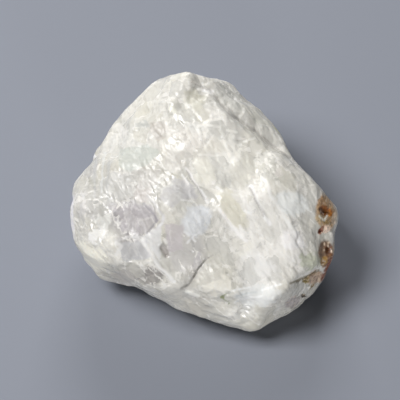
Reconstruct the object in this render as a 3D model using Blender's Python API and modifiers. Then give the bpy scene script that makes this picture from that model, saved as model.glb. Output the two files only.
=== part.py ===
"""A rough lump of milky white mineral, a hand specimen with an iron-stained end.

It is one natural piece, broken on every side, and it rests on one small flat spot.
Units are metres and +Z is up. The origin is on the table, under the middle of the stone.

The stone is shaped face-on first: X to the right, Y up the face, Z towards the viewer.
It is then tipped back onto the table, and its underside is broken away. Last come its
forms: grooves, steps, hollows and lumps on the face, and broken facets all over.
"""

import math

import bmesh
import bpy
from mathutils import Matrix, Vector, noise

MM = 0.001

# How the stone lies
TIP_BACK = math.radians(30.0)
MIDDLE = Vector((0.0, 0.0, 17.5 * MM))

# The block that the stone is broken from
BLOCK_FRONT = 24.0 * MM
BLOCK_BACK = -36.0 * MM
BLOCK_ROOM = 1.011

# Outline of the stone seen face-on, in millimetres, clockwise from the top
OUTLINE = [
    (-4.5, 28.8), (1.1, 27.6), (5.2, 27.4), (7.0, 26.1), (10.3, 22.5), (14.1, 19.3),
    (17.2, 15.6), (18.6, 11.9), (19.9, 9.4), (24.0, 5.0), (27.4, 1.4), (30.0, -1.6),
    (30.2, -3.9), (29.1, -7.4), (29.5, -10.4), (28.8, -14.0), (27.6, -17.5),
    (25.9, -20.1), (21.9, -23.6), (17.2, -25.9), (12.2, -28.9), (10.2, -29.4),
    (6.7, -28.6), (2.8, -27.5), (-1.5, -26.0), (-5.4, -24.8), (-8.8, -23.1),
    (-12.3, -21.9), (-15.3, -19.7), (-17.7, -20.1), (-20.3, -19.5), (-23.0, -17.8),
    (-24.8, -14.7), (-27.3, -12.2), (-29.0, -10.2), (-29.6, -4.8), (-30.1, 1.7),
    (-29.2, 4.2), (-26.4, 7.5), (-24.1, 10.8), (-21.9, 14.7), (-20.8, 17.4),
    (-18.2, 21.1), (-14.6, 24.4), (-11.4, 26.8), (-8.0, 28.3),
]

# Faces seen from the front: the way each one falls, how steeply, and how far out it lies.
# 0 degrees falls to the right, 90 up the face; a slope of 0 faces the viewer.
FRONT_FACES = {
    "top": (87, 17.0, 13.8),
    "crown_back": (91, 9.0, 13.09),
    "crown": (95, 4.0, 12.96),
    "brow": (247, 4.0, 13.36),
    "right_bank": (53, 57.4, 20.6),
    "left_shoulder": (138, 20.0, 14.2),
    "left_shoulder_edge": (140, 55.0, 20.8),
    "left_end": (180, 45.0, 24.6),
    "right_apron": (-5, 20.0, 18.0),
    "right_end": (0, 45.0, 25.1),
    "corner_apron": (-49, 5.0, 13.3),
    "corner_toe": (262, 42.0, 21.4),
    "corner_edge": (-49, 66.0, 28.9),
    "front_apron": (247, 28.0, 18.9),
    "front_wall": (243, 70.0, 24.0),
    "left_corner": (234, 64.5, 24.7),
}

# Faces of the sides and the underside, as the stone lies: the bearing that each one
# looks along, how far it looks down, and how far it lies from the middle.
UNDER_FACES = {
    "back_wall": (92, 3, 26.5),
    "back_under": (88, 38, 23.9),
    "back_left_wall": (132, 8, 27.0),
    "back_left_under": (140, 42, 23.0),
    "left_under": (182, 44, 25.0),
    "front_left_under": (232, 50, 24.6),
    "front_under": (272, 55, 26.6),
    "front_right_under": (318, 50, 31.0),
    "right_under": (2, 43, 28.4),
    "back_right_wall": (48, 6, 26.0),
    "back_right_under": (42, 40, 24.0),
    "heel_back": (75, 74, 19.3),
    "heel_back_left": (120, 75, 19.5),
    "heel_left": (165, 76, 19.4),
    "heel_front_left": (215, 77, 19.3),
    "heel_front": (255, 79, 19.1),
    "heel_corner": (300, 83, 19.1),
    "heel_right": (340, 82, 19.4),
    "heel_back_right": (30, 76, 19.4),
}

# How far up the rounded bottom is worn flat
FLAT_SPOT_WEAR = 0.4 * MM
CUTTER_SIZE = 100.0 * MM

VOXEL = 0.6 * MM
WELD = 0.001 * MM
EDGE_WEAR = 10
FACET_WEAR = 2
TRIANGLES = 9000

# Grooves in the face: the line in millimetres, half the width and the depth
GROOVES = {
    "bank_groove": ([(1.2, 24.2), (4.7, 20.5), (8.2, 17.7), (11.5, 15.4),
                     (15.4, 12.5), (18.4, 10.5), (20.2, 8.8)], 1.4, 1.3),
    "corner_groove": ([(19.8, -18.9), (22.0, -17.6), (25.2, -16.2), (27.4, -15.0)], 1.0, 1.1),
    "left_seam": ([(-22.9, 11.0), (-22.6, 6.0), (-23.2, 1.0)], 1.3, 0.5),
}

# Steps in the face: walking along the line, the ground on the right hand drops at once
# and then climbs back over the reach. All in millimetres: line, drop, reach.
STEPS = {
    "crack": ([(-5.2, -20.4), (-1.7, -15.6), (-0.2, -13.6), (0.6, -11.8)], 1.3, 3.6),
    "front_ledge": ([(-15.2, -18.2), (-12.2, -20.0), (-8.4, -21.0), (-5.0, -19.6)], -1.2, 3.2),
    "bank_drop": ([(20.2, 8.8), (11.5, 15.4), (4.7, 20.5), (1.2, 24.2)], 1.1, 4.5),
}
STEP_EDGE = 0.45
END_FADE = 0.2

# Hollows in the face, negative ones standing up as lumps: middle, the two half widths,
# the turn of the longer one in degrees, and the depth. All but the turn in millimetres.
HOLLOWS = {
    "summit_hollow": ((-0.2, 23.8), 4.5, 2.4, -30, 0.6),
    "lobe_hollow": ((-16.6, -16.3), 6.0, 3.0, -12, 1.3),
    "left_hollow": ((-15.4, 12.5), 7.0, 4.0, 20, 0.9),
    "vein_hollow": ((-9.6, 15.4), 3.2, 1.8, -70, 0.5),
    "grey_hollow": ((-15.8, -5.4), 6.0, 4.2, -5, 1.0),
    "left_lump": ((-26.0, -4.0), 7.0, 4.5, 90, -1.0),
    "lobe_lump": ((-21.0, -13.0), 6.0, 5.0, 40, -1.0),
    "brow_lump": ((2.0, 17.5), 8.0, 5.0, -35, -0.9),
    "centre_lump": ((-5.0, -5.0), 9.0, 6.0, -50, -0.8),
    "right_lump": ((14.5, -6.5), 14.0, 8.5, -58, -0.8),
    "corner_lump": ((16.5, -22.0), 6.5, 4.5, 35, -1.0),
    "wall_scar": ((-4.0, -22.6), 6.5, 2.6, -24, 1.3),
    "wall_lump": ((5.5, -25.6), 4.5, 2.6, -24, -1.0),
    "end_scar": ((27.0, -9.0), 4.0, 2.2, 85, 0.9),
    "shoulder_scar": ((-20.6, 13.6), 6.0, 2.8, 58, 1.1),
}

# Pits with steep sides and a flat floor, given like the hollows
PITS = {
    "rhomb_pit": ((-8.9, -11.3), 1.9, 0.9, -62, 0.9),
    "stain_pit_top": ((27.2, -2.4), 1.4, 1.1, 75, 1.1),
    "stain_pit_middle": ((25.4, -6.9), 1.1, 0.8, 60, 1.1),
    "stain_pit_low": ((26.8, -12.3), 2.1, 1.0, 80, 1.3),
    "corner_pit": ((21.4, -20.4), 1.0, 0.8, 20, 0.9),
}
PIT_WALL = 0.4

# Broken facets all over: how far apart they are, how much longer they run along the
# grain than across it, and how far they lean
FACET_SIZES = {
    "broad": (9.0 * MM, 1.5, math.radians(7.0)),
    "chips": (3.6 * MM, 1.7, math.radians(6.0)),
}
GRAIN = Vector((0.57, -0.82, 0.0))
FACET_SHUFFLE = 11.0
FACET_BORDER = 0.18

# Wandering edges of the forms, in millimetres, and the slow swell of the whole surface
WANDER_SIZE = 4.0
WANDER = 0.4
WANDER_SEED = 1
SWELL_SIZE = 15.0 * MM
SWELL_HEIGHT = 0.6 * MM

# Forms fade where the face turns away by more than this (the cosine), facets are lower
# on the walls, which are worn back, and higher at the back. All settle at the bottom.
FACE_TURN = 0.33
WALL_SHARE = 0.85
WALL_WEAR = 0.45 * MM
BACK_GAIN = 0.7
SETTLING = 1.2 * MM

STONE_COLOUR = (0.78, 0.76, 0.72, 1.0)
STONE_ROUGHNESS = 0.45


def pointing(bearing, climb):
    """The unit vector at that bearing, climbing by that angle, both in degrees."""
    flat = math.cos(math.radians(climb))
    return Vector((
        flat * math.cos(math.radians(bearing)),
        flat * math.sin(math.radians(bearing)),
        math.sin(math.radians(climb)),
    ))


def clear_scene():
    for old in list(bpy.data.objects):
        bpy.data.objects.remove(old)


def block_from_outline():
    """A slab with the stone's outline, as a mesh, with a little room for the wear of its
    walls."""
    curve = bpy.data.curves.new("block", "CURVE")
    curve.dimensions = "2D"
    curve.fill_mode = "BOTH"
    curve.extrude = (BLOCK_FRONT - BLOCK_BACK) / 2
    spline = curve.splines.new("POLY")
    spline.points.add(len(OUTLINE) - 1)
    for point, (x, y) in zip(spline.points, OUTLINE):
        point.co = (x * MM * BLOCK_ROOM, y * MM * BLOCK_ROOM, 0.0, 1.0)
    spline.use_cyclic_u = True
    mesh = finished_mesh(bpy.data.objects.new("block", curve))
    bm = bmesh.new()
    bm.from_mesh(mesh)
    bmesh.ops.remove_doubles(bm, verts=bm.verts, dist=WELD)
    bmesh.ops.translate(bm, verts=bm.verts, vec=(0, 0, (BLOCK_FRONT + BLOCK_BACK) / 2))
    return bm


def break_off(bm, normal, distance, middle):
    """Breaks the stone along one plane and closes the fresh face."""
    cut = bmesh.ops.bisect_plane(
        bm,
        geom=bm.verts[:] + bm.edges[:] + bm.faces[:],
        dist=WELD,
        plane_co=middle + normal * distance,
        plane_no=normal,
        clear_outer=True,
    )
    rim = [g for g in cut["geom_cut"] if isinstance(g, bmesh.types.BMEdge)]
    bmesh.ops.holes_fill(bm, edges=rim)


def rough_block():
    """The stone with all its broken faces, still plain and sharp."""
    bm = block_from_outline()
    for bearing, slope, distance in FRONT_FACES.values():
        break_off(bm, pointing(bearing, 90 - slope), distance * MM, Vector())
    bmesh.ops.rotate(bm, verts=bm.verts, matrix=Matrix.Rotation(TIP_BACK, 3, "X"))
    bmesh.ops.translate(bm, verts=bm.verts, vec=MIDDLE)
    for bearing, down, distance in UNDER_FACES.values():
        break_off(bm, pointing(bearing, -down), distance * MM, MIDDLE)
    break_off(bm, Vector((0, 0, -1)), 0.0, Vector())
    bmesh.ops.recalc_face_normals(bm, faces=bm.faces)
    return bm


def finished_mesh(thing):
    """The mesh that an object comes to with its modifiers. The object is used up."""
    bpy.context.scene.collection.objects.link(thing)
    graph = bpy.context.evaluated_depsgraph_get()
    mesh = bpy.data.meshes.new_from_object(thing.evaluated_get(graph))
    bpy.data.objects.remove(thing)
    return mesh


def modified(mesh, kind, **settings):
    """A copy of the mesh with one modifier applied."""
    holder = bpy.data.objects.new("holder", mesh)
    modifier = holder.modifiers.new(kind.lower(), kind)
    for name, value in settings.items():
        setattr(modifier, name, value)
    return finished_mesh(holder)


def beside_path(x, y, path):
    """How far a point is from a line, how far along it, from 0 to 1, and on which side:
    1 on the right hand."""
    best = (math.inf, 0.0, 1.0)
    count = len(path) - 1
    for number, ((ax, ay), (bx, by)) in enumerate(zip(path, path[1:])):
        dx, dy = bx - ax, by - ay
        share = held(((x - ax) * dx + (y - ay) * dy) / (dx * dx + dy * dy))
        away = math.hypot(x - ax - share * dx, y - ay - share * dy)
        if away < best[0]:
            side = 1.0 if (x - ax) * dy - (y - ay) * dx > 0 else -1.0
            best = (away, (number + share) / count, side)
    return best


def in_its_axes(x, y, middle, turn):
    """A point of the face as a form sees it, along and across its own length."""
    cosine, sine = math.cos(math.radians(turn)), math.sin(math.radians(turn))
    away_x, away_y = x - middle[0], y - middle[1]
    return away_x * cosine + away_y * sine, away_y * cosine - away_x * sine


def held(value):
    """The value, kept between 0 and 1."""
    return min(1.0, max(0.0, value))


def eased(share):
    """A share that leaves 0 and reaches 1 gently."""
    share = held(share)
    return share * share * (3.0 - 2.0 * share)


def face_depth(x, y):
    """How far the forms of the face sink its surface at a point, all in millimetres.
    The point wanders a little first, so that no form keeps a ruled edge."""
    wander = noise.noise_vector(Vector((x, y, 0.0)) / WANDER_SIZE) * WANDER
    x, y = x + wander.x, y + wander.y
    depth = 0.0
    for path, half_width, deepest in GROOVES.values():
        away, along, _ = beside_path(x, y, path)
        fade = eased(min(along, 1.0 - along) / END_FADE)
        depth += deepest * fade * held(1.0 - away / half_width)
    for path, drop, reach in STEPS.values():
        away, along, side = beside_path(x, y, path)
        fade = eased(min(along, 1.0 - along) / END_FADE)
        fallen = eased((away * side + STEP_EDGE) / (2.0 * STEP_EDGE))
        depth += drop * fade * fallen * held(1.0 - away / reach) ** 2
    for middle, long_half, short_half, turn, deepest in HOLLOWS.values():
        along, across = in_its_axes(x, y, middle, turn)
        depth += deepest * eased(1.0 - (along / long_half) ** 2 - (across / short_half) ** 2)
    for middle, long_half, short_half, turn, deepest in PITS.values():
        along, across = in_its_axes(x, y, middle, turn)
        inside = 1.0 - max(abs(along) / long_half, abs(across) / short_half)
        depth += deepest * held(inside / PIT_WALL)
    return depth


def facet_height(place, size, stretch, lean):
    """Height of the broken facets at a point: flat chips that lean at random, and meet
    in ledges. They are longer along the grain."""
    along = GRAIN * place.dot(GRAIN)
    scaled = (place - along + along / stretch) / size
    near, points = noise.voronoi(scaled)
    heights = []
    for point in points[:2]:
        tilt = noise.cell_vector(point * FACET_SHUFFLE) * 2 - Vector((1, 1, 1))
        heights.append((scaled - point).dot(tilt.normalized()) * math.tan(lean) * size)
    inside = held((near[1] - near[0]) / FACET_BORDER)
    return heights[0] * (1.0 + inside) / 2 + heights[1] * (1.0 - inside) / 2


def carve(mesh):
    """Works the forms of the face and the broken facets into the stone."""
    upright = Matrix.Rotation(-TIP_BACK, 3, "X")
    viewer = Matrix.Rotation(TIP_BACK, 3, "X") @ Vector((0, 0, 1))
    moves = []
    for vertex in mesh.vertices:
        place = upright @ (vertex.co - MIDDLE)
        turned = vertex.normal.dot(viewer)
        sink = face_depth(place.x / MM, place.y / MM) * MM * held(turned / FACE_TURN)
        rise = SWELL_HEIGHT * noise.noise(place / SWELL_SIZE)
        for size, stretch, lean in FACET_SIZES.values():
            rise += facet_height(place, size, stretch, lean)
        wall = 1.0 - abs(turned)
        rise *= 1.0 - (1.0 - WALL_SHARE) * wall + BACK_GAIN * max(0.0, -turned)
        rise = (rise - WALL_WEAR * wall) * held(vertex.co.z / SETTLING)
        moves.append(vertex.normal * rise - viewer * sink)
    for vertex, move in zip(mesh.vertices, moves):
        vertex.co += move


def collection_named(name):
    collection = bpy.data.collections.new(name)
    bpy.context.scene.collection.children.link(collection)
    return collection


def flat_spot_cutter():
    """A slab whose top is where the bottom of the stone is worn flat."""
    bm = bmesh.new()
    bmesh.ops.create_cube(bm, size=CUTTER_SIZE)
    bmesh.ops.translate(bm, verts=bm.verts, vec=(0, 0, FLAT_SPOT_WEAR - CUTTER_SIZE / 2))
    mesh = bpy.data.meshes.new("flat_spot_cutter")
    bm.to_mesh(mesh)
    cutter = bpy.data.objects.new("flat_spot_cutter", mesh)
    cutter.hide_render = True
    cutter.display_type = "WIRE"
    collection_named("cutters").objects.link(cutter)
    return cutter


def stone_material():
    material = bpy.data.materials.new("milky_mineral")
    material.use_nodes = True
    surface = material.node_tree.nodes["Principled BSDF"]
    surface.inputs["Base Color"].default_value = STONE_COLOUR
    surface.inputs["Roughness"].default_value = STONE_ROUGHNESS
    surface.inputs["Metallic"].default_value = 0.0
    return material


def main():
    clear_scene()
    noise.seed_set(WANDER_SEED)
    bm = rough_block()
    mesh = bpy.data.meshes.new("rough_block")
    bm.to_mesh(mesh)
    mesh = modified(mesh, "REMESH", mode="VOXEL", voxel_size=VOXEL)
    mesh = modified(mesh, "SMOOTH", factor=0.5, iterations=EDGE_WEAR)
    carve(mesh)
    mesh = modified(mesh, "REMESH", mode="VOXEL", voxel_size=VOXEL)
    mesh = modified(mesh, "SMOOTH", factor=0.5, iterations=FACET_WEAR)
    mesh.calc_loop_triangles()
    share = TRIANGLES / len(mesh.loop_triangles)
    mesh = modified(mesh, "DECIMATE", ratio=share, use_collapse_triangulate=True)
    cutter = flat_spot_cutter()
    mesh = modified(mesh, "BOOLEAN", operation="DIFFERENCE", solver="EXACT", object=cutter)
    mesh.name = "matrix_stone"
    mesh.materials.clear()
    mesh.materials.append(stone_material())

    stone = bpy.data.objects.new("matrix_stone", mesh)
    collection_named("rough_white_mineral").objects.link(stone)
    places = zip(*(vertex.co for vertex in mesh.vertices))
    middle_x, middle_y, _ = [(min(along) + max(along)) / 2 for along in places]
    stone.location = (-middle_x, -middle_y, -FLAT_SPOT_WEAR)


if __name__ == "__main__":
    main()
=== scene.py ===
"""A rough lump of milky quartz with an iron-stained end, lying on a studio sweep.

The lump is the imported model's own shape, broken up more finely: crystals, chips, a crack,
pits and veins. Places on it are pixels of the 400 x 400 photograph, and sizes are
millimetres, unless a comment says otherwise.
"""

import math

import bmesh
import bpy
import numpy as np
from mathutils import Matrix, Vector, noise


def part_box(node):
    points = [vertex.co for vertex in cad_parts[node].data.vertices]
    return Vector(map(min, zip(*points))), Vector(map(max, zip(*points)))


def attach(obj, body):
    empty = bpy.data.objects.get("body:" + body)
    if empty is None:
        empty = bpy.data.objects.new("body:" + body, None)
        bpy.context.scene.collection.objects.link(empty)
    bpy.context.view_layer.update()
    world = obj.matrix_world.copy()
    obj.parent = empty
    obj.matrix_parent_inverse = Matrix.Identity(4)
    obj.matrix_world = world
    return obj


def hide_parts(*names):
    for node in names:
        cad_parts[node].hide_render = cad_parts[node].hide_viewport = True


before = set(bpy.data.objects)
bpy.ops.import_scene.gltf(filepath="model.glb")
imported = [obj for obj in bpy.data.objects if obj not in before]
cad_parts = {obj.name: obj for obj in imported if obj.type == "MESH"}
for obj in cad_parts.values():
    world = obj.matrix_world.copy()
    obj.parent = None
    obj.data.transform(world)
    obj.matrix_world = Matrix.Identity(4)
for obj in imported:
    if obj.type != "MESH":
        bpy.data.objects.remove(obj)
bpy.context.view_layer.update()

# The view
# The photograph was taken from in front and above with a long lens, so the broad broken
# face shows nearly square on. The camera stands half a metre away, on that line.
MM = 0.001
ELEVATION = math.radians(60.0)
DISTANCE = 500.0
NEAREST = 50.0
PIXELS_PER_MM = 4.43
PHOTO_SIDE = 400
SENSOR = 36.0
FACE_MIDDLE = Vector((-0.01, -0.42, 17.1))
FACE_MIDDLE_PIXEL = (204.0, 201.0)

toward_viewer = Vector((0, -math.cos(ELEVATION), math.sin(ELEVATION)))
across_photo = Vector((1, 0, 0))
up_photo = toward_viewer.cross(across_photo)
off_right = (FACE_MIDDLE_PIXEL[0] - PHOTO_SIDE / 2) / PIXELS_PER_MM
off_down = (FACE_MIDDLE_PIXEL[1] - PHOTO_SIDE / 2) / PIXELS_PER_MM
eye = FACE_MIDDLE + toward_viewer * DISTANCE - across_photo * off_right + up_photo * off_down

lens = bpy.data.cameras.new("long_lens")
lens.sensor_width = SENSOR
lens.lens = SENSOR * DISTANCE * PIXELS_PER_MM / PHOTO_SIDE
lens.clip_start = NEAREST * MM
camera = bpy.data.objects.new("camera", lens)
camera.matrix_world = Matrix.Translation(eye * MM) @ Matrix(
    (across_photo, up_photo, toward_viewer)).transposed().to_4x4()
bpy.context.scene.collection.objects.link(camera)
bpy.context.scene.camera = camera
bpy.context.scene.view_settings.view_transform = "Standard"

# The lump
# One piece of milky quartz knocked out of a vein. It starts as the model's own solid,
# filled with an even, dense mesh that is finest on the broad face.

# The spacing of the even mesh, and how often and how far it is smoothed.
COARSE = 0.52
SMOOTHING = 3
SMOOTH_SHARE = 0.5
# How squarely the surface faces the viewer: 1 is square on, -1 is away. The mesh is finer
# above the first. What lies on the face comes in at FACE_START and is whole FACE_SOFT later.
# What runs on past the edge has the last two.
FINE_ABOVE = 0.3
FACE_START, FACE_SOFT = 0.05, 0.3
EDGE_START, EDGE_SOFT = -0.5, 0.4
# Features wander off their drawn places in waves: the size, and the reach in pixels.
WANDERS = ((2.2, 2.0), (0.7, 0.7))
WANDER_SEED = 1


def finished_mesh(thing):
    """The mesh that an object comes to with its modifiers. The object is used up."""
    bpy.context.scene.collection.objects.link(thing)
    graph = bpy.context.evaluated_depsgraph_get()
    mesh = bpy.data.meshes.new_from_object(thing.evaluated_get(graph))
    bpy.data.objects.remove(thing)
    return mesh


solid = bpy.data.objects.new("solid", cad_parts["matrix_stone"].data.copy())
fill = solid.modifiers.new("fill", "REMESH")
fill.mode = "VOXEL"
fill.voxel_size = COARSE * MM
even = solid.modifiers.new("even", "SMOOTH")
even.factor = SMOOTH_SHARE
even.iterations = SMOOTHING
lump_mesh = finished_mesh(solid)
lump_mesh.name = "milky_quartz_lump"

bm = bmesh.new()
bm.from_mesh(lump_mesh)
bm.normal_update()
face_side = [face for face in bm.faces if face.normal.dot(toward_viewer) > FINE_ABOVE]
# Each edge once, in an order that is the same in every run.
edges = list(dict.fromkeys(edge for face in face_side for edge in face.edges))
bmesh.ops.subdivide_edges(bm, edges=edges, cuts=1, use_grid_fill=True)
bmesh.ops.triangulate(bm, faces=[face for face in bm.faces if len(face.verts) > 4])
bmesh.ops.smooth_vert(
    bm, verts=[v for v in bm.verts if v.normal.dot(toward_viewer) > FINE_ABOVE],
    factor=SMOOTH_SHARE, use_axis_x=True, use_axis_y=True, use_axis_z=True)
bm.to_mesh(lump_mesh)
bm.free()


def read_points(mesh):
    """The places of a mesh's points in millimetres, and their normals, one row each."""
    places = np.empty(len(mesh.vertices) * 3)
    mesh.vertices.foreach_get("co", places)
    normals = np.empty(len(mesh.vertices) * 3, np.float32)
    mesh.vertex_normals.foreach_get("vector", normals)
    return places.reshape(-1, 3) / MM, normals.reshape(-1, 3).astype(float)


def on_photo(places):
    """The pixel of the photograph that each point falls on."""
    away = places - np.array(eye)
    depth = -away @ np.array(toward_viewer)
    scale = PIXELS_PER_MM * DISTANCE / depth
    return (PHOTO_SIDE / 2 + away @ np.array(across_photo) * scale,
            PHOTO_SIDE / 2 - away @ np.array(up_photo) * scale)


def eased(share):
    """A share that leaves 0 and reaches 1 gently."""
    share = np.clip(share, 0.0, 1.0)
    return share * share * (3.0 - 2.0 * share)


def wandering(places, size, reach):
    """A slow wander of the points, two numbers each, in the photograph's pixels."""
    return np.array([noise.noise_vector(Vector(place) / size)[:2] for place in places]) * reach


noise.seed_set(WANDER_SEED)
places, normals = read_points(lump_mesh)
facing = normals @ np.array(toward_viewer)
u, v = on_photo(places)
wander = sum(wandering(places, size, reach) for size, reach in WANDERS)
# Plates and grains take the whole wander. Lines take half of it, because they are straighter.
wu, wv = u + wander[:, 0], v + wander[:, 1]
su, sv = u + wander[:, 0] / 2, v + wander[:, 1] / 2
on_face = eased((facing - FACE_START) / FACE_SOFT)
past_edge = eased((facing - EDGE_START) / EDGE_SOFT)

# The broken forms of the face
# Quartz breaks in shells and steps, and other crystals leave their moulds in it: a crack
# with a drop beside it, ledges, a groove along the bank and a few sharp pits.

# Grooves: the line, half the width in pixels, and the depth.
GROOVES = {
    "bank_groove": ([(193, 84), (204, 88), (210, 90), (225, 110), (240, 121), (256, 132),
                     (272, 145), (286, 155), (294, 163)], 3.0, 0.25),
    "crack": ([(213, 255), (205, 260), (197, 271), (190, 283), (181, 289)], 1.5, 0.2),
    "lobe_crease": ([(134, 281), (147, 276), (160, 271)], 1.6, 0.15),
    "heart_crease": ([(185, 167), (196, 184), (206, 200)], 1.2, 0.16),
    "lilac_arc": ([(143, 203), (153, 213), (157, 221), (147, 235)], 1.2, 0.2),
    "lath_crease": ([(253, 189), (261, 205), (267, 217)], 1.1, 0.14),
    "fold": ([(288, 284), (303, 278), (320, 271)], 1.5, 0.3),
}
# Steps: the line, the drop on its right-hand side, and the pixels it takes to climb back.
STEPS = {
    "crack_step": ([(181, 289), (190, 283), (197, 270), (207, 257)], 0.3, 9.0),
    "plate_step": ([(176, 283), (160, 264), (142, 240)], 0.15, 8.0),
    "star_step": ([(148, 197), (157, 213), (163, 222), (152, 233)], 0.2, 8.0),
    "heart_step": ([(206, 200), (196, 184), (185, 167)], 0.14, 10.0),
    "ledge": ([(137, 283), (150, 290), (167, 295), (182, 289), (198, 297)], 0.3, 7.0),
    "cream_step": ([(247, 243), (233, 228), (222, 212)], 0.14, 9.0),
    "window_step": ([(227, 153), (213, 135), (200, 154)], 0.12, 8.0),
    "shoulder_step": ([(112, 140), (126, 133), (150, 127)], 0.2, 9.0),
}
# Pits: the corners, clockwise, the depth, and the pixels that the walls reach in.
PITS = {
    "rhomb_pit": ([(162.8, 240.7), (169.7, 253.7), (166, 259.3), (159.5, 248.1)], 0.4, 1.3),
    "orange_pit": ([(319, 206), (330, 207), (332, 215), (320, 214)], 0.5, 2.0),
    "red_pit": ([(316.5, 229), (321, 227.5), (322.5, 232), (318, 234)], 0.5, 1.5),
    "brown_pit": ([(325, 245), (331.5, 246), (331.5, 254), (326, 255)], 0.6, 2.0),
    "dark_spot": ([(300.5, 293.5), (305, 293.5), (304.5, 297), (301, 297)], 0.4, 1.2),
}
# The share of a line over which its ends fade, and half a step's width in pixels.
GROOVE_FADE = 0.15
STEP_FADE = 0.2
STEP_SOFT = 0.8


def beside_line(u, v, line):
    """How far each point is from a line drawn on the photograph, how far along the line
    it is, from 0 to 1, and its side: 1 on the right hand, -1 on the left."""
    away = np.full(len(u), np.inf)
    along = np.zeros(len(u))
    side = np.ones(len(u))
    for number, ((au, av), (bu, bv)) in enumerate(zip(line, line[1:])):
        du, dv = bu - au, bv - av
        share = np.clip(((u - au) * du + (v - av) * dv) / (du * du + dv * dv), 0.0, 1.0)
        here = np.hypot(u - au - share * du, v - av - share * dv)
        nearer = here < away
        away = np.where(nearer, here, away)
        along = np.where(nearer, (number + share) / (len(line) - 1), along)
        side = np.where(nearer, np.where((u - au) * dv - (v - av) * du < 0, 1.0, -1.0), side)
    return away, along, side


def in_plate(u, v, corners):
    """How many pixels inside a straight-edged plate each point lies, negative outside.
    Its corners run clockwise on the photograph."""
    inside = np.full(len(u), np.inf)
    for (au, av), (bu, bv) in zip(corners, corners[1:] + corners[:1]):
        length = math.hypot(bu - au, bv - av)
        inside = np.minimum(inside, ((v - av) * (bu - au) - (u - au) * (bv - av)) / length)
    return inside


sink = np.zeros(len(places))
for line, half_width, depth in GROOVES.values():
    away, along, _ = beside_line(su, sv, line)
    ends = eased(np.minimum(along, 1 - along) / GROOVE_FADE)
    sink += depth * ends * np.clip(1 - away / half_width, 0, 1)
for line, drop, reach in STEPS.values():
    away, along, side = beside_line(su, sv, line)
    ends = eased(np.minimum(along, 1 - along) / STEP_FADE)
    fallen = eased((away * side + STEP_SOFT) / (2 * STEP_SOFT))
    sink += drop * ends * fallen * np.clip(1 - away / reach, 0, 1) ** 2
for corners, depth, wall in PITS.values():
    sink += depth * np.clip(in_plate(u, v, corners) / wall, 0, 1)
places -= np.outer(sink * on_face, toward_viewer)

# The crystals
# Milky quartz is a mass of crystals grown into each other. Each breaks along its own
# lean, so the surface is chips of three sizes that meet in ledges.

# The way that the crystals run.
GRAIN = Vector((0.57, -0.71, -0.41)).normalized()
# Chips: their width, how many times as long they are along the grain, and their lean.
CHIPS = {
    "crystals": (4.4, 1.9, math.radians(3.2)),
    "splinters": (1.9, 2.4, math.radians(4.8)),
    "slivers": (0.95, 3.0, math.radians(8.0)),
}
# The width of a ledge, as a share of the chip, and a number that scatters the leans.
LEDGE = 0.1
SHUFFLE = 11.0
# Chips stand out less on the outline: by what share, and up to how squarely they face the
# viewer. The last is the height over which they grow from the foot.
RIM_CALM = 0.6
RIM_REACH = 0.6
BOTTOM_FADE = 1.0
# Edges of grains break along splinters: their width and stretch, and the reach in pixels.
JAG = (1.2, 2.4)
JAG_REACH = 5.0


def among_chips(place, size, stretch):
    """The point in the chips' own measure, how far from it the middles of the nearest
    chips are, and those middles."""
    along = GRAIN * place.dot(GRAIN)
    scaled = (place - along + along / stretch) / size
    return scaled, *noise.voronoi(scaled)


def broken_chips(place, size, stretch, lean):
    """The height of the chips at a point."""
    scaled, near, middles = among_chips(place, size, stretch)
    heights = []
    for middle in middles[:2]:
        tilt = noise.cell_vector(middle * SHUFFLE) * 2 - Vector((1, 1, 1))
        heights.append((scaled - middle).dot(tilt.normalized()) * math.tan(lean) * size)
    rim = min(1.0, (near[1] - near[0]) / LEDGE)
    return heights[0] * (1 + rim) / 2 + heights[1] * (1 - rim) / 2


def jagged(place):
    """A jump that a whole splinter shares, which breaks the edge of a grain along it."""
    _, _, middles = among_chips(place, *JAG)
    return (noise.cell_vector(middles[0] * SHUFFLE) - Vector((0.5, 0.5, 0.5)))[:2]


jag = np.array([jagged(Vector(place)) for place in places]) * JAG_REACH
rise = np.zeros(len(places))
for size, stretch, lean in CHIPS.values():
    rise += [broken_chips(Vector(place), size, stretch, lean) for place in places]
low, high = (np.array(corner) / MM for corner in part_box("matrix_stone"))
rise *= 1 - RIM_CALM * np.clip(1 - np.abs(facing) / RIM_REACH, 0, 1)
rise *= np.clip((places[:, 2] - low[2]) / BOTTOM_FADE, 0, 1)
places += normals * rise[:, None]
places = np.clip(places, low, high)
lump_mesh.vertices.foreach_set("co", (places * MM).ravel())
lump_mesh.update()
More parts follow.
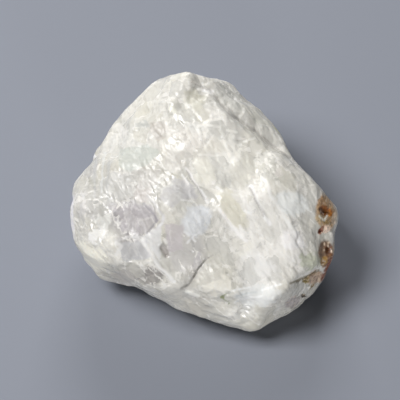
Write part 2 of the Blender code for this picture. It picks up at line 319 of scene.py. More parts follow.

# The grains and veins that show in the face, and painted shade and highlight
# Clear grey quartz, cream and greenish grains like feldspar, opaque white veins along old
# cracks, and the iron stain that has soaked into the open grains of the right-hand end.
# Painted shade darkens the bank, the creases, the crack and the faces under the lobe and the
# ledge, and a painted highlight runs along the left rim.

# Broad tints: the middle, the two half widths, the turn, the colour and how strong it is.
TINTS = {
    "west_side": ((98, 192), 46, 27, 90, "#B9B7B3", 0.8),
    "north_side": ((148, 184), 42, 28, 60, "#BFBCB6", 0.8),
    "east_side": ((268, 232), 62, 34, -52, "#F2EFE9", 0.75),
    "brow_side": ((218, 153), 31, 20, -42, "#FAF7EF", 0.8),
    "brow_white": ((186, 144), 24, 17, -30, "#DFDAD2", 0.8),
    "shoulder_side": ((128, 142), 30, 14, 30, "#DAD8D2", 0.6),
    "lilac_zone": ((131, 219), 28, 18, -10, "#B7B2B3", 0.85),
    "middle_grey": ((186, 252), 22, 24, 60, "#BFBBBC", 0.8),
    "lobe_grey": ((127, 276), 17, 9, 15, "#C0BAB6", 0.6),
    # The next two are painted shade under the lobe and the ledge, over the stone's own grey at the
    # lobe.
    "lobe_shade": ((151, 275), 15, 11, 15, "#908B87", 0.8),
    "ledge_shade": ((190, 279), 13, 9, 40, "#B4B0A9", 0.6),
    "west_low": ((133, 238), 17, 8, 0, "#9E9A9A", 0.8),
    "white_granular": ((256, 271), 21, 20, -70, "#F8F6F2", 0.7),
    "cream_swirl": ((241, 249), 11, 11, 0, "#F4F1E8", 0.8),
    "grey_low": ((198, 306), 14, 10, -20, "#B8B2A8", 0.7),
    "corner_white": ((240, 314), 20, 12, 30, "#F0EEE7", 0.7),
    # The next three are painted shade on the bank, which falls away beyond the groove.
    "bank_painted_shade": ((232, 98), 20, 10, -38, "#C4C3BC", 0.7),
    "bank_painted_shade_light": ((262, 122), 14, 7, -40, "#CECEC5", 0.6),
    "bank_low_painted_shade": ((269, 169), 20, 9, -38, "#C4C2B9", 0.7),
    "summit_white": ((212, 120), 14, 8, -25, "#D9D6CF", 0.85),
    "summit_side": ((180, 112), 22, 16, 40, "#CCC9C1", 0.6),
}
# Single grains, given like the tints.
GRAINS = {
    "summit_cream": ((194, 101), 13, 8, -50, "#CAC7B9", 0.85),
    "summit_window": ((204, 99), 7, 4, -60, "#B4B1A2", 0.7),
    "shoulder_white": ((120, 129), 10, 5, -35, "#E8E5E0", 0.7),
    "shoulder_window": ((140, 125), 8, 3, 10, "#B8B9B4", 0.7),
    "cream_heart": ((204, 171), 16, 10, -65, "#E6E3D8", 0.9),
    "cream_spot": ((215, 146), 7, 5, 0, "#EDE9DD", 0.7),
    "cream_lath": ((232, 209), 24, 10, -57, "#DDD9CA", 0.95),
    "right_cream": ((243, 177), 8, 5, -60, "#E0DDD0", 0.7),
    "star_facets": ((184, 189), 16, 10, -35, "#C3C1C3", 0.8),
    "lilac_core": ((142, 227), 9, 6, -20, "#AAA6A7", 0.8),
    "ice_patch": ((196, 220), 17, 14, 60, "#D5D7DA", 0.8),
    "ice_core": ((192, 221), 8, 7, 40, "#E6E8EA", 0.6),
    "west_white": ((96, 236), 9, 6, 30, "#F4F2EE", 0.9),
    "west_cream": ((93, 256), 19, 9, -40, "#FAF6E8", 0.9),
    "west_pale": ((105, 221), 9, 7, 0, "#E4E3DD", 0.8),
    "west_streak": ((83, 204), 14, 3, 85, "#DAD7D4", 0.7),
    "olive_blotch": ((115, 189), 6, 5, 0, "#A09E8E", 0.7),
    "olive_blotch_west": ((92, 182), 4, 3, 0, "#B6B4A9", 0.7),
    "pink_white": ((141, 194), 8, 9, 90, "#C6BFBA", 0.7),
    "ice_east": ((293, 202), 12, 17, 70, "#E8E9E6", 0.85),
    "pink_east": ((280, 171), 5, 4, 0, "#D6D0C9", 0.6),
    "white_crumbs": ((264, 266), 12, 9, -70, "#F4F2EE", 0.8),
    "white_feather": ((292, 240), 13, 9, -15, "#F6F3F0", 0.85),
    "green_east": ((310, 261), 11, 8, 20, "#C4C6B2", 0.85),
    "ice_low": ((257, 296), 23, 11, 5, "#E8E9E7", 0.8),
    "cream_low": ((216, 286), 14, 11, 0, "#F0ECE1", 0.85),
    "moss": ((225, 299.5), 4, 2.6, -10, "#7E8652", 0.9),
    "bank_glass": ((279, 132), 9, 4, -60, "#C4C49C", 0.85),
}
# Straight-edged plates: the corners, clockwise, the colour and how strong it is.
PLATES = {
    "green_plate": ([(120, 148), (150, 145), (161, 152), (146, 166), (130, 172), (118, 166)],
                    "#C0C3BB", 0.85),
    "pink_plate": ([(150, 122), (164, 121), (166, 137), (158, 142), (150, 133)], "#C2BCB4", 0.9),
    "brow_window": ([(213, 135), (228, 153), (199, 154)], "#E6E2D8", 0.9),
    "right_window": ([(229, 164), (247, 156), (251, 172), (243, 191), (232, 188)],
                     "#DFDCD2", 0.8),
    "lilac_plate": ([(133, 203), (152, 206), (159, 219), (152, 232), (136, 236), (122, 230),
                     (120, 212)], "#B4AFB0", 0.75),
    "cream_north": ([(166, 145), (184, 150), (187, 164), (176, 174), (163, 169)], "#D8D4CC", 0.8),
    "pale_north": ([(138, 171), (161, 168), (157, 184), (139, 190)], "#CAC6C0", 0.8),
    "grey_west": ([(112, 171), (131, 174), (135, 196), (118, 202), (105, 189)], "#C5C3BE", 0.8),
    "pale_star": ([(164, 186), (180, 178), (184, 198), (172, 208), (160, 200)], "#C4C2C0", 0.8),
    "pale_plate": ([(143, 239), (162, 222), (160, 262)], "#DCDBDA", 0.9),
    "crack_face": ([(204, 262), (219, 253), (222, 280), (191, 288)], "#CCC9C0", 0.7),
    "low_facet": ([(117, 243), (146, 241), (150, 258), (124, 262)], "#BCBBBC", 0.85),
    "pink_facet": ([(165, 224), (183, 224), (184, 250), (168, 252)], "#C4BDBE", 0.8),
    "rhomb_floor": ([(162.8, 240.7), (169.7, 253.7), (166, 259.3), (159.5, 248.1)], "#A6A09C", 0.9),
}
# Veins, and dark lines of painted shade along the creases: the line, half the width, the colour and
# how strong it is.
VEINS_AND_CREASE_SHADE = {
    "summit_dash": ([(183, 96), (186.5, 107)], 1.8, "#EEEBE2", 0.9),
    "summit_blob": ([(171, 108), (175, 111)], 2.6, "#ECEADD", 0.9),
    "summit_sparkle": ([(204, 89), (212, 92)], 2.4, "#F8F7F5", 0.9),
    "pink_edge": ([(165, 122), (168.6, 138)], 1.7, "#E4E0D9", 0.95),
    "pink_edge_low": ([(162, 144), (166, 155)], 1.9, "#F0ECE4", 0.9),
    "star_north": ([(148, 196), (157, 207), (163, 216)], 1.5, "#CCCAC8", 0.9),
    "star_south": ([(163, 216), (162, 224), (153, 232), (143, 239)], 1.6, "#DAD8D7", 0.9),
    "plate_edge": ([(141, 239), (160, 267), (174, 282)], 2.2, "#EEECE9", 0.95),
    "west_vein": ([(117, 241), (128, 237), (140, 238)], 1.6, "#CCCAC8", 0.9),
    "west_fleck": ([(116, 243), (121, 246), (117, 254)], 2.0, "#E8E6E3", 0.85),
    "heart_white": ([(186, 168), (191, 176), (198, 188), (208, 203)], 1.4, "#F4F1EE", 0.95),
    "heart_white_end": ([(201, 190), (208, 202)], 1.8, "#F2F0EE", 0.9),
    "north_dash": ([(158.6, 181), (173, 171.5)], 1.3, "#D6D3CD", 0.95),
    "north_dash_low": ([(160, 190), (173, 183)], 1.2, "#D0CFCA", 0.9),
    "cream_white": ([(220, 209), (228, 221), (238, 234), (246, 241)], 1.9, "#FBF8F4", 0.95),
    "cream_white_end": ([(240, 226), (243, 238)], 1.6, "#F8F5F0", 0.9),
    "cream_east": ([(244, 200), (253, 215)], 1.8, "#F7F4EE", 0.9),
    "lath_white": ([(251, 186), (258, 202), (264, 216), (270, 224)], 2.1, "#F9F7F4", 0.95),
    "lath_white_east": ([(265, 180), (271, 196), (279, 208), (291, 228)], 1.8, "#F7F5F0", 0.95),
    "west_seam": ([(105, 153), (102, 172), (102, 192)], 1.3, "#D6D7D5", 0.7),
    "west_streak_one": ([(96, 158), (94, 178), (95, 196)], 1.4, "#B8B8B8", 0.6),
    "west_streak_two": ([(110, 160), (107, 180), (108, 200)], 1.5, "#BEBEBC", 0.6),
    "ledge_light": ([(186, 291), (198, 296)], 1.9, "#F8F6EE", 0.9),
    "brow_dash": ([(197, 126), (208, 121), (222, 118)], 1.6, "#F6F3EC", 0.75),
    "brow_dash_low": ([(206, 125), (219, 127)], 1.3, "#F6F3EC", 0.7),
    "brow_dash_east": ([(227, 130), (237, 132)], 1.3, "#F6F3EC", 0.7),
    "bank_dash": ([(244, 141), (254, 138)], 1.3, "#F2F0EA", 0.7),
    "window_edge": ([(199, 154.5), (213, 155), (225, 155)], 1.2, "#F4F1EA", 0.85),
    "window_edge_west": ([(213, 135), (205, 146)], 1.1, "#F2EFE8", 0.8),
    "heart_dash": ([(182, 174), (188, 184)], 1.2, "#F0EEEA", 0.9),
    "heart_spot": ([(217, 187), (222, 191)], 1.5, "#FAF8F3", 0.9),
    "cream_spot_east": ([(248, 175), (249, 178)], 1.6, "#F8F5EA", 0.9),
    "lath_spot": ([(245, 211), (251, 214)], 1.6, "#FCFAF6", 0.95),
    "star_thread": ([(181, 200), (191, 201.5)], 1.1, "#E4E3E1", 0.85),
    "ice_thread": ([(184, 232), (190, 236), (196, 242)], 1.1, "#ECECEC", 0.8),
    "ice_thread_low": ([(188, 243), (194, 236), (199, 232)], 1.1, "#ECECEC", 0.8),
    "low_thread": ([(231, 291), (250, 287)], 1.2, "#FCFCFB", 0.7),
    "low_thread_two": ([(240, 300), (262, 296)], 1.2, "#FCFCFB", 0.7),
    "low_thread_three": ([(262, 290), (281, 284)], 1.2, "#FCFCFB", 0.7),
    "low_thread_dark": ([(236, 296), (256, 292)], 1.0, "#C6CBCB", 0.5),
    # The next six are dark lines of painted shade in the creases, the lilac arc, the crack and the
    # bank groove.
    "heart_crease": ([(186, 171), (196, 186), (205, 200)], 0.8, "#A6A3A0", 0.6),
    "lath_crease": ([(250, 188), (257, 203), (263, 216)], 1.0, "#B4AFA9", 0.7),
    "lilac_arc": ([(144, 204), (153, 214), (157, 221), (147, 234)], 1.2, "#989498", 0.8),
    "lobe_crease": ([(136, 280), (148, 275), (160, 271)], 1.2, "#9A9592", 0.4),
    "crack": ([(213, 255), (205, 260), (197, 270), (189, 284), (181, 288.5)], 1.1, "#98938C", 0.6),
    "bank_crease": ([(196, 84), (210, 90), (227, 111), (241, 121), (257, 133), (273, 146),
                     (289, 158)], 1.6, "#9A958E", 0.5),
    "fold": ([(290, 283.5), (303, 278), (319, 272)], 1.2, "#847A5C", 0.7),
}
# The iron stain, given like the tints.
STAIN_GRAINS = {
    "upper_halo": ((326, 213), 19, 10, 95, "#B8905E", 0.85),
    "upper_brown": ((322, 202), 6, 4, -60, "#A88564", 0.8),
    "orange_hollow": ((326, 211), 7, 5, -20, "#945618", 0.95),
    "orange_core": ((329, 213), 3.5, 3, -20, "#A5661C", 0.95),
    "orange_shade": ((321.5, 210.5), 2.8, 2.4, 0, "#6C4418", 0.9),
    "olive_cream": ((320, 218.5), 4, 4, 0, "#BCA580", 0.8),
    "olive_brown": ((327, 223), 4.5, 2.6, -10, "#A68A5A", 0.85),
    "east_rim": ((334.5, 219), 7, 2.4, 85, "#EED9C0", 0.7),
    "pit_rim": ((326, 229.5), 6, 3.6, 20, "#FCE2CE", 0.8),
    "red_pit": ((319.8, 231), 3.6, 3, 60, "#7C4024", 0.95),
    "red_pit_small": ((322, 227.6), 2, 1.6, 0, "#B47450", 0.9),
    "middle_halo": ((327, 256), 16, 8, 100, "#84644A", 0.9),
    "rust_low": ((330, 264), 10, 4, 70, "#784834", 0.85),
    "brown_pit": ((328, 249.5), 5.2, 4, 80, "#5A361C", 0.95),
    "brown_pit_low": ((328.5, 256), 3.4, 3, 60, "#684424", 0.9),
    "gold_grain": ((323.3, 261.5), 5.4, 3.6, 70, "#9A7840", 0.9),
    "gold_shade": ((321.5, 262.5), 2, 1.6, 0, "#70522A", 0.8),
    "east_rim_low": ((333.5, 250), 8, 2, 88, "#CCBAA6", 0.7),
    "pink_facet_low": ((315, 277.5), 9, 6, 35, "#B4947A", 0.85),
    "olive_grain": ((306, 280), 5, 2.8, 25, "#8A7420", 0.95),
    "olive_grain_low": ((311.3, 286.2), 4, 2.2, 30, "#806A2E", 0.9),
    "dark_spot": ((302.8, 295.2), 3, 2.1, 10, "#38280E", 0.95),
    "speckled_edge": ((293, 302), 9, 5, 35, "#AAA0A0", 0.7),
}
# Lines that run on over the edge: a painted highlight along the glassy rim on the left, and the
# stain's own veins.
EDGE_VEINS_AND_RIM_HIGHLIGHT = {
    # The next two are a painted highlight along the left rim.
    "rim_glint": ([(93, 156), (84, 166), (76, 175)], 2.4, "#FCFBFD", 0.95),
    "rim_glint_low": ([(72, 196), (72, 212), (73, 240)], 1.8, "#ECEAF0", 0.8),
    "red_rim": ([(333, 256), (330, 264), (326, 271), (321.5, 280)], 2.0, "#7E4A36", 0.9),
    "fold_line": ([(318.5, 270), (310, 275), (301, 280.5), (296, 282.5)], 1.0, "#6A5A34", 0.8),
    "white_fork": ([(320, 215.5), (324, 220.5), (326.5, 216)], 1.1, "#F4EEDF", 0.9),
    "white_low": ([(303, 289.5), (309, 287)], 1.8, "#ECEAE6", 0.8),
}
# How much wider the ovals are laid, and how far in from the rim their colours are whole.
TINT_SPREAD, TINT_FADE = 1.25, 0.55
GRAIN_SPREAD, GRAIN_FADE = 1.15, 0.3
# The pixels over which a plate's edge softens, each way, and where a vein's colour ends, in
# half widths: it softens over the last one.
PLATE_SOFT = 1.0
VEIN_END = 1.4
# How much of the jags the stain follows, and the least cover that a colour is divided by.
STAIN_JAG = 0.4
LEAST_COVER = 1e-4


def linear(hex_colour):
    """An sRGB hex colour as linear red, green and blue."""
    channels = [int(hex_colour[at:at + 2], 16) / 255 for at in (1, 3, 5)]
    return np.array([c / 12.92 if c <= 0.04045 else ((c + 0.055) / 1.055) ** 2.4
                     for c in channels])


def in_oval(u, v, middle, half_long, half_short, turn):
    """1 in the middle of an oval on the photograph, 0 on its rim, negative outside. The
    turn is of its long axis, in degrees, anticlockwise from the right."""
    cosine, sine = math.cos(math.radians(turn)), math.sin(math.radians(turn))
    right, up = u - middle[0], middle[1] - v
    along = (right * cosine + up * sine) / half_long
    across = (up * cosine - right * sine) / half_short
    return 1.0 - np.hypot(along, across)


def oval_shares(u, v, ovals, spread, fade):
    """How much of each oval's colour lies at each point, and the colour."""
    for middle, half_long, half_short, turn, colour, strength in ovals.values():
        inside = in_oval(u, v, middle, half_long * spread, half_short * spread, turn)
        yield strength * eased(inside / fade), colour


def line_shares(u, v, veins):
    """How much of each line's colour lies at each point, and the colour: veins, painted shade and a
    painted highlight.
    """
    for line, half_width, colour, strength in veins.values():
        away, _, _ = beside_line(u, v, line)
        yield strength * eased(VEIN_END - away / half_width), colour


grain_and_painted_light_colour = np.zeros((len(places), 3))
grain_and_painted_light_cover = np.zeros(len(places))
laid_calm = np.zeros(len(places))
stain_cover = np.zeros(len(places))


def lay_over(share, hex_colour, marked=None):
    """Lays one colour over what is there already, by that share at each point, and marks
    how far it covers."""
    grain_and_painted_light_colour[:] = grain_and_painted_light_colour * (1 - share[:, None]) + linear(hex_colour) * share[:, None]
    grain_and_painted_light_cover[:] = grain_and_painted_light_cover * (1 - share) + share
    if marked is not None:
        marked[:] = np.maximum(marked, share)


# Tints and grains break off along splinters, and the stain less so.
ju, jv = wu + jag[:, 0], wv + jag[:, 1]
for share, colour in oval_shares(ju, jv, TINTS, TINT_SPREAD, TINT_FADE):
    lay_over(share * on_face, colour)
for share, colour in oval_shares(ju, jv, GRAINS, GRAIN_SPREAD, GRAIN_FADE):
    lay_over(share * on_face, colour, laid_calm)
for corners, colour, strength in PLATES.values():
    inside = in_plate(wu, wv, corners)
    share = strength * eased((inside + PLATE_SOFT) / (2 * PLATE_SOFT))
    lay_over(share * on_face, colour, laid_calm)
for share, colour in line_shares(su, sv, VEINS_AND_CREASE_SHADE):
    lay_over(share * on_face, colour, laid_calm)
tu, tv = su + STAIN_JAG * jag[:, 0], sv + STAIN_JAG * jag[:, 1]
for share, colour in oval_shares(tu, tv, STAIN_GRAINS, GRAIN_SPREAD, GRAIN_FADE):
    lay_over(share * past_edge, colour, stain_cover)
for share, colour in line_shares(su, sv, EDGE_VEINS_AND_RIM_HIGHLIGHT):
    lay_over(share * past_edge, colour)


def keep(name, kind, values):
    """Keeps a value for each point of the lump, for its material."""
    attribute = lump_mesh.attributes.new(name, kind, "POINT")
    part = "vector" if kind == "FLOAT_VECTOR" else "value"
    attribute.data.foreach_set(part, np.ravel(values).astype(np.float32))


keep("grain_and_painted_light_colour", "FLOAT_VECTOR", grain_and_painted_light_colour / np.maximum(grain_and_painted_light_cover, LEAST_COVER)[:, None])
keep("grain_and_painted_light_cover", "FLOAT", grain_and_painted_light_cover)
keep("laid_calm", "FLOAT", laid_calm)
keep("stain_cover", "FLOAT", stain_cover)

# Milky quartz, freshly broken
# White from countless tiny bubbles, clearer and creamier where there are few, and lit about
# a millimetre deep. Clear crystals break smooth and glassy, and bruised ones break into
# white shards.
MILK_WHITE = "#DAD7CF"
CLEAR_GREY = "#C6C5C0"
CLEAR_CREAM = "#D4D0C2"
SHARD_WHITE = "#EDEAE4"
FLECK_CREAM = "#E6D2B8"

# Clouds of bubbles, cream zones, shattered patches, crystals and the splinters that they
# break into. Crystals and splinters are longer along the grain.
CLOUD_SIZE = 9.0
CREAM_SIZE = 14.0
PATCH_SIZE = 6.0
CRYSTAL_SIZE = 3.6
SPLINTER_SIZE = 1.3
STRETCH = 2.1
# Real crumbs go down to a tenth of a millimetre. They are drawn coarser, so that they show.
CRUMB_SIZE = 0.55
# How ragged the borders are: the size of the waves, and their reach.
RAGGED_SIZE = 1.6
RAGGED_REACH = 1.3
# Shards to a millimetre, along, across and through, so each is about 2.4 x 0.5 x 0.6 mm.
# They turn from one crystal to the next, by up to this in radians.
SHARDS_PER_MM = (0.42, 1.9, 1.6)
SHARD_TURN = 2.4
# How strongly clear crystals, crumbs and rust colour the stone, and how shards lift it.
CLEAR_STRENGTH = 0.45
CRUMB_STRENGTH = 0.5
RUST_STRENGTH = 0.8
SHARD_LIFT = 0.5
RELIEF_STRENGTH = 0.4
RELIEF_DEPTH = 0.35
# The middle of a random number from 0 to 1.
MIDDLE = 0.5

# Quartz is as glossy as glass where it breaks clean. Light goes in about a millimetre, red
# light deepest.
QUARTZ_IOR = 1.544
GLASSY_ROUGHNESS = 0.25
SMOOTH_SHARD, ROUGH_SHARD = 0.3, 0.65
SCATTER_DEPTH = 1.0
SCATTER_COLOURS = (1.0, 0.95, 0.88)

quartz = bpy.data.materials.new("milky_quartz_broken")
quartz.use_nodes = True
tree = quartz.node_tree
tree.nodes.clear()


def add(kind, inputs=None, **settings):
    """Adds a node to the material in hand, with its settings, and its inputs as values or
    links from other nodes' outputs."""
    node = tree.nodes.new(kind)
    for name, value in settings.items():
        setattr(node, name, value)
    for socket, value in (inputs or {}).items():
        if isinstance(value, bpy.types.NodeSocket):
            tree.links.new(value, node.inputs[socket])
        else:
            node.inputs[socket].default_value = value
    return node


def colour_of(hex_colour):
    """An sRGB hex colour as a node takes it."""
    return (*linear(hex_colour), 1.0)


place = add("ShaderNodeTexCoord").outputs["Object"]
millimetres = add("ShaderNodeVectorMath", {0: place, "Scale": 1 / MM}, operation="SCALE").outputs[0]
clouds = add("ShaderNodeTexNoise", {
    "Vector": millimetres, "Scale": 1 / CLOUD_SIZE, "Detail": 4.0, "Roughness": 0.55,
    "Distortion": 0.6}).outputs["Fac"]
creams = add("ShaderNodeTexNoise", {
    "Vector": millimetres, "Scale": 1 / CREAM_SIZE, "Detail": 3.0, "Roughness": 0.55,
    "Distortion": 0.4}).outputs["Fac"]

# Crystals with slightly ragged borders: the place wanders a little before it is looked up.
ragged = add("ShaderNodeTexNoise", {
    "Vector": millimetres, "Scale": 1 / RAGGED_SIZE, "Detail": 3.0,
    "Roughness": 0.6}).outputs["Color"]
wandered = add("ShaderNodeVectorMath", {0: ragged, 1: (RAGGED_REACH,) * 3, 2: millimetres},
               operation="MULTIPLY_ADD").outputs[0]
grain_turn = GRAIN.to_track_quat("X", "Z").to_euler()
along_grain = add("ShaderNodeMapping", {
    "Vector": wandered, "Rotation": grain_turn, "Scale": (STRETCH, 1.0, 1.0)},
    vector_type="TEXTURE").outputs[0]
unbent = add("ShaderNodeMapping", {"Vector": millimetres, "Rotation": grain_turn},
             vector_type="TEXTURE").outputs[0]

# The colour of a crystal, a splinter or a crumb stands for three random numbers of its own.
crystals = add("ShaderNodeTexVoronoi", {"Vector": along_grain, "Scale": 1 / CRYSTAL_SIZE})
splinters = add("ShaderNodeTexVoronoi", {"Vector": along_grain, "Scale": 1 / SPLINTER_SIZE})
crumbs = add("ShaderNodeTexVoronoi", {"Vector": wandered, "Scale": 1 / CRUMB_SIZE})
crystal_own = add("ShaderNodeSeparateColor", {"Color": crystals.outputs["Color"]}).outputs
splinter_own = add("ShaderNodeSeparateColor", {"Color": splinters.outputs["Color"]}).outputs
crumb_own = add("ShaderNodeSeparateColor", {"Color": crumbs.outputs["Color"]}).outputs

# Shards lie side by side in a crystal, and run its own way.
own_turn = add("ShaderNodeVectorMath", {0: crystals.outputs["Color"], "Scale": SHARD_TURN},
               operation="SCALE").outputs[0]
turned = add("ShaderNodeVectorRotate", {"Vector": unbent, "Rotation": own_turn},
             rotation_type="EULER_XYZ").outputs[0]
shard_place = add("ShaderNodeMapping", {"Vector": turned, "Scale": SHARDS_PER_MM}).outputs[0]
shards = add("ShaderNodeTexVoronoi", {"Vector": shard_place, "Scale": 1.0})
shard_own = add("ShaderNodeSeparateColor", {"Color": shards.outputs["Color"]}).outputs

# The body: milk white, tinted by the grains that are laid on, with the painted shade and highlight
# laid on among them.
cloud_share = add("ShaderNodeMapRange", {
    "Value": clouds, "From Min": 0.45, "From Max": 0.65, "To Max": 0.45}).outputs[0]
cream_share = add("ShaderNodeMapRange", {
    "Value": creams, "From Min": 0.5, "From Max": 0.7, "To Max": 0.8}).outputs[0]
body = add("ShaderNodeMix", {
    "Factor": cloud_share, "A": colour_of(MILK_WHITE), "B": colour_of(CLEAR_GREY)},
    data_type="RGBA").outputs["Result"]
body = add("ShaderNodeMix", {"Factor": cream_share, "A": body, "B": colour_of(CLEAR_CREAM)},
           data_type="RGBA").outputs["Result"]
cover = add("ShaderNodeAttribute", attribute_name="grain_and_painted_light_cover").outputs["Fac"]
laid_grains_and_painted_light = add("ShaderNodeAttribute", attribute_name="grain_and_painted_light_colour").outputs["Color"]
body = add("ShaderNodeMix", {"Factor": cover, "A": body, "B": laid_grains_and_painted_light},
           data_type="RGBA").outputs["Result"]

# Where chance may work: less in a grain that is laid on, and hardly in the stain.
calm = add("ShaderNodeAttribute", attribute_name="laid_calm").outputs["Fac"]
stained = add("ShaderNodeAttribute", attribute_name="stain_cover").outputs["Fac"]
free = add("ShaderNodeMapRange", {"Value": calm, "To Min": 1.0, "To Max": 0.15}).outputs[0]
clean = add("ShaderNodeMapRange", {
    "Value": stained, "From Max": 0.7, "To Min": 1.0, "To Max": 0.1}).outputs[0]
free = add("ShaderNodeMath", {0: free, 1: clean}, operation="MULTIPLY").outputs[0]

# Clear crystals, smooth inside, some grey and some cream.
clear = add("ShaderNodeMapRange", {
    "Value": crystal_own["Red"], "From Min": 0.58, "From Max": 0.62}).outputs[0]
clear = add("ShaderNodeMath", {0: clear, 1: free}, operation="MULTIPLY").outputs[0]
clear_share = add("ShaderNodeMath", {0: clear, 1: CLEAR_STRENGTH}, operation="MULTIPLY").outputs[0]
clear_tint = add("ShaderNodeMix", {
    "Factor": crystal_own["Green"], "A": colour_of(CLEAR_GREY), "B": colour_of(CLEAR_CREAM)},
    data_type="RGBA").outputs["Result"]
body = add("ShaderNodeMix", {"Factor": clear_share, "A": body, "B": clear_tint},
           data_type="RGBA").outputs["Result"]

# How broken each place is: the patches between the clear crystals.
patches = add("ShaderNodeTexNoise", {
    "Vector": millimetres, "Scale": 1 / PATCH_SIZE, "Detail": 2.0}).outputs["Fac"]
broken = add("ShaderNodeMapRange", {
    "Value": patches, "From Min": 0.42, "From Max": 0.58, "To Min": 0.25, "To Max": 1.0}).outputs[0]
broken = add("ShaderNodeMath", {0: broken, 1: free}, operation="MULTIPLY").outputs[0]
unclear = add("ShaderNodeMapRange", {"Value": clear, "To Min": 1.0, "To Max": 0.15}).outputs[0]
broken = add("ShaderNodeMath", {0: broken, 1: unclear}, operation="MULTIPLY").outputs[0]

# White shards, with a few gaps darkened as painted shade, and a crumbled tone between them.
shard_share = add("ShaderNodeMapRange", {
    "Value": shard_own["Red"], "From Min": 0.74, "From Max": 0.78, "To Max": 0.6}).outputs[0]
shard_share = add("ShaderNodeMath", {0: shard_share, 1: broken}, operation="MULTIPLY").outputs[0]
gap_painted_shade = add("ShaderNodeMapRange", {
    "Value": shard_own["Red"], "From Min": 0.16, "From Max": 0.12, "To Max": 0.16}).outputs[0]
gap_painted_shade = add("ShaderNodeMath", {0: gap_painted_shade, 1: broken}, operation="MULTIPLY").outputs[0]
splinter_tone = add("ShaderNodeMath", {0: splinter_own["Red"], 1: MIDDLE},
                    operation="SUBTRACT").outputs[0]
crumb_tone = add("ShaderNodeMath", {0: crumb_own["Red"], 1: MIDDLE}, operation="SUBTRACT").outputs[0]
tone = add("ShaderNodeMath", {0: crumb_tone, 1: CRUMB_STRENGTH, 2: splinter_tone},
           operation="MULTIPLY_ADD").outputs[0]
tone_reach = add("ShaderNodeMapRange", {"Value": broken, "To Min": 0.03, "To Max": 0.1}).outputs[0]
tone = add("ShaderNodeMath", {0: tone, 1: tone_reach, 2: 1.0}, operation="MULTIPLY_ADD").outputs[0]
rust_tone = add("ShaderNodeMath", {0: crumb_tone, 1: stained}, operation="MULTIPLY").outputs[0]
tone = add("ShaderNodeMath", {0: rust_tone, 1: RUST_STRENGTH, 2: tone},
           operation="MULTIPLY_ADD").outputs[0]
tone = add("ShaderNodeMath", {0: tone, 1: gap_painted_shade}, operation="SUBTRACT").outputs[0]
body = add("ShaderNodeVectorMath", {0: body, "Scale": tone}, operation="SCALE").outputs[0]
body = add("ShaderNodeMix", {"Factor": shard_share, "A": body, "B": colour_of(SHARD_WHITE)},
           data_type="RGBA").outputs["Result"]

# Cream flecks that the iron has not reached.
fleck_share = add("ShaderNodeMapRange", {
    "Value": crumb_own["Green"], "From Min": 0.84, "From Max": 0.88, "To Max": 0.7}).outputs[0]
fleck_share = add("ShaderNodeMath", {0: fleck_share, 1: stained}, operation="MULTIPLY").outputs[0]
body = add("ShaderNodeMix", {"Factor": fleck_share, "A": body, "B": colour_of(FLECK_CREAM)},
           data_type="RGBA").outputs["Result"]

# Bruised white rims between crystals, broken off here and there.
borders = add("ShaderNodeTexVoronoi", {"Vector": along_grain, "Scale": 1 / CRYSTAL_SIZE},
              feature="DISTANCE_TO_EDGE").outputs["Distance"]
rim_share = add("ShaderNodeMapRange", {
    "Value": borders, "From Min": 0.05, "From Max": 0.02, "To Max": 0.7}).outputs[0]
bruised = add("ShaderNodeMapRange", {
    "Value": splinter_own["Blue"], "From Min": 0.62, "From Max": 0.7}).outputs[0]
bruised = add("ShaderNodeMath", {0: bruised, 1: free}, operation="MULTIPLY").outputs[0]
rim_share = add("ShaderNodeMath", {0: rim_share, 1: bruised}, operation="MULTIPLY").outputs[0]
body = add("ShaderNodeMix", {"Factor": rim_share, "A": body, "B": colour_of(SHARD_WHITE)},
           data_type="RGBA").outputs["Result"]

# Each splinter and shard leans its own way, which gives small glints.
middles = (MIDDLE,) * 3
splinter_lean = add("ShaderNodeVectorMath", {0: splinters.outputs["Color"], 1: middles},
                    operation="SUBTRACT").outputs[0]
off_splinter = add("ShaderNodeVectorMath", {0: along_grain, 1: splinters.outputs["Position"]},
                   operation="SUBTRACT").outputs[0]
splinter_height = add("ShaderNodeVectorMath", {0: off_splinter, 1: splinter_lean},
                      operation="DOT_PRODUCT").outputs["Value"]
shard_lean = add("ShaderNodeVectorMath", {0: shards.outputs["Color"], 1: middles},
                 operation="SUBTRACT").outputs[0]
off_shard = add("ShaderNodeVectorMath", {0: shard_place, 1: shards.outputs["Position"]},
                operation="SUBTRACT").outputs[0]
shard_height = add("ShaderNodeVectorMath", {0: off_shard, 1: shard_lean},
                   operation="DOT_PRODUCT").outputs["Value"]
roughened = add("ShaderNodeMapRange", {"Value": broken, "To Min": 0.2, "To Max": 1.0}).outputs[0]
heights = add("ShaderNodeMath", {0: shard_height, 1: SHARD_LIFT, 2: splinter_height},
              operation="MULTIPLY_ADD").outputs[0]
heights = add("ShaderNodeMath", {0: heights, 1: roughened}, operation="MULTIPLY").outputs[0]
relief = add("ShaderNodeBump", {
    "Height": heights, "Strength": RELIEF_STRENGTH, "Distance": RELIEF_DEPTH * MM}).outputs[0]

# Glassy where it is clear, and each shard with a gloss of its own. The iron lets no light in.
gloss = add("ShaderNodeMapRange", {
    "Value": shard_own["Green"], "To Min": SMOOTH_SHARD, "To Max": ROUGH_SHARD}).outputs[0]
gloss = add("ShaderNodeMix", {"Factor": clear, "A": gloss, "B": GLASSY_ROUGHNESS},
            data_type="FLOAT").outputs["Result"]
depth_share = add("ShaderNodeMapRange", {
    "Value": stained, "From Max": 0.8, "To Min": 0.35, "To Max": 0.0}).outputs[0]
surface = add("ShaderNodeBsdfPrincipled", {
    "Base Color": body, "Roughness": gloss, "Normal": relief, "IOR": QUARTZ_IOR, "Metallic": 0.0,
    "Subsurface Weight": depth_share, "Subsurface Radius": SCATTER_COLOURS,
    "Subsurface Scale": SCATTER_DEPTH * MM})
add("ShaderNodeOutputMaterial", {"Surface": surface.outputs[0]})

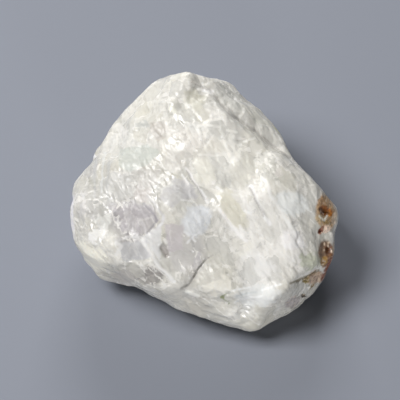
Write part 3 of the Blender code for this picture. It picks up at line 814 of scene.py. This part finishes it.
lump_mesh.materials.clear()
lump_mesh.materials.append(quartz)
lump_mesh.shade_smooth()
lump = bpy.data.objects.new("milky_quartz_lump", lump_mesh)
bpy.context.scene.collection.objects.link(lump)
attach(lump, "root")
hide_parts("matrix_stone")

# The sweep
# A sheet of smooth matt paper that the lump lies on, a blue grey, wider than the picture.
# Its tooth hardly catches the light.
PAPER_GREY = "#878B95"
PAPER_ROUGHNESS = 0.85
SWEEP_SIDE = 3000.0
# Real tooth is some ten times finer. It is drawn as coarse as it needs to show.
TOOTH_PER_MM = 0.9
TOOTH_DEPTH = 0.1
TOOTH_STRENGTH = 0.05

paper = bpy.data.materials.new("matt_backdrop_paper")
paper.use_nodes = True
tree = paper.node_tree
tree.nodes.clear()
place = add("ShaderNodeTexCoord").outputs["Object"]
tooth = add("ShaderNodeTexNoise", {
    "Vector": place, "Scale": TOOTH_PER_MM / MM, "Detail": 2.0}).outputs["Fac"]
relief = add("ShaderNodeBump", {
    "Height": tooth, "Strength": TOOTH_STRENGTH, "Distance": TOOTH_DEPTH * MM}).outputs[0]
surface = add("ShaderNodeBsdfPrincipled", {
    "Base Color": colour_of(PAPER_GREY), "Roughness": PAPER_ROUGHNESS, "Normal": relief})
add("ShaderNodeOutputMaterial", {"Surface": surface.outputs[0]})

bm = bmesh.new()
bmesh.ops.create_grid(bm, x_segments=8, y_segments=8, size=SWEEP_SIDE * MM / 2)
sweep_mesh = bpy.data.meshes.new("paper_sweep")
bm.to_mesh(sweep_mesh)
bm.free()
sweep_mesh.materials.append(paper)
sweep = bpy.data.objects.new("paper_sweep", sweep_mesh)
bpy.context.scene.collection.objects.link(sweep)

# The light
# A strong soft box hangs on the left and a weaker one stands behind. A small reflector low
# in front lifts the near side. So the shadow is soft, and lies at the near right-hand side.

# Lights: the place and the side, both in metres, and the watts.
LIGHTS = {
    "soft_box": ((-0.425, 0.0, 0.736), 0.36, 7.2),
    "back_box": ((0.0, 0.736, 0.425), 0.4, 4.1),
    "front_reflector": ((0.22, -0.81, 0.07), 0.13, 3.0),
}
# The pale room around adds a trace of light from every side.
ROOM_GREY = "#DADDE2"
ROOM_STRENGTH = 0.01

for name, (place, side, watts) in LIGHTS.items():
    shine = bpy.data.lights.new(name, "AREA")
    shine.size = side
    shine.energy = watts
    light = bpy.data.objects.new(name, shine)
    light.location = place
    light.rotation_euler = (Vector() - light.location).to_track_quat("-Z", "Y").to_euler()
    bpy.context.scene.collection.objects.link(light)

room = bpy.data.worlds.new("white_room")
room.use_nodes = True
background = room.node_tree.nodes["Background"]
background.inputs["Color"].default_value = colour_of(ROOM_GREY)
background.inputs["Strength"].default_value = ROOM_STRENGTH
bpy.context.scene.world = room
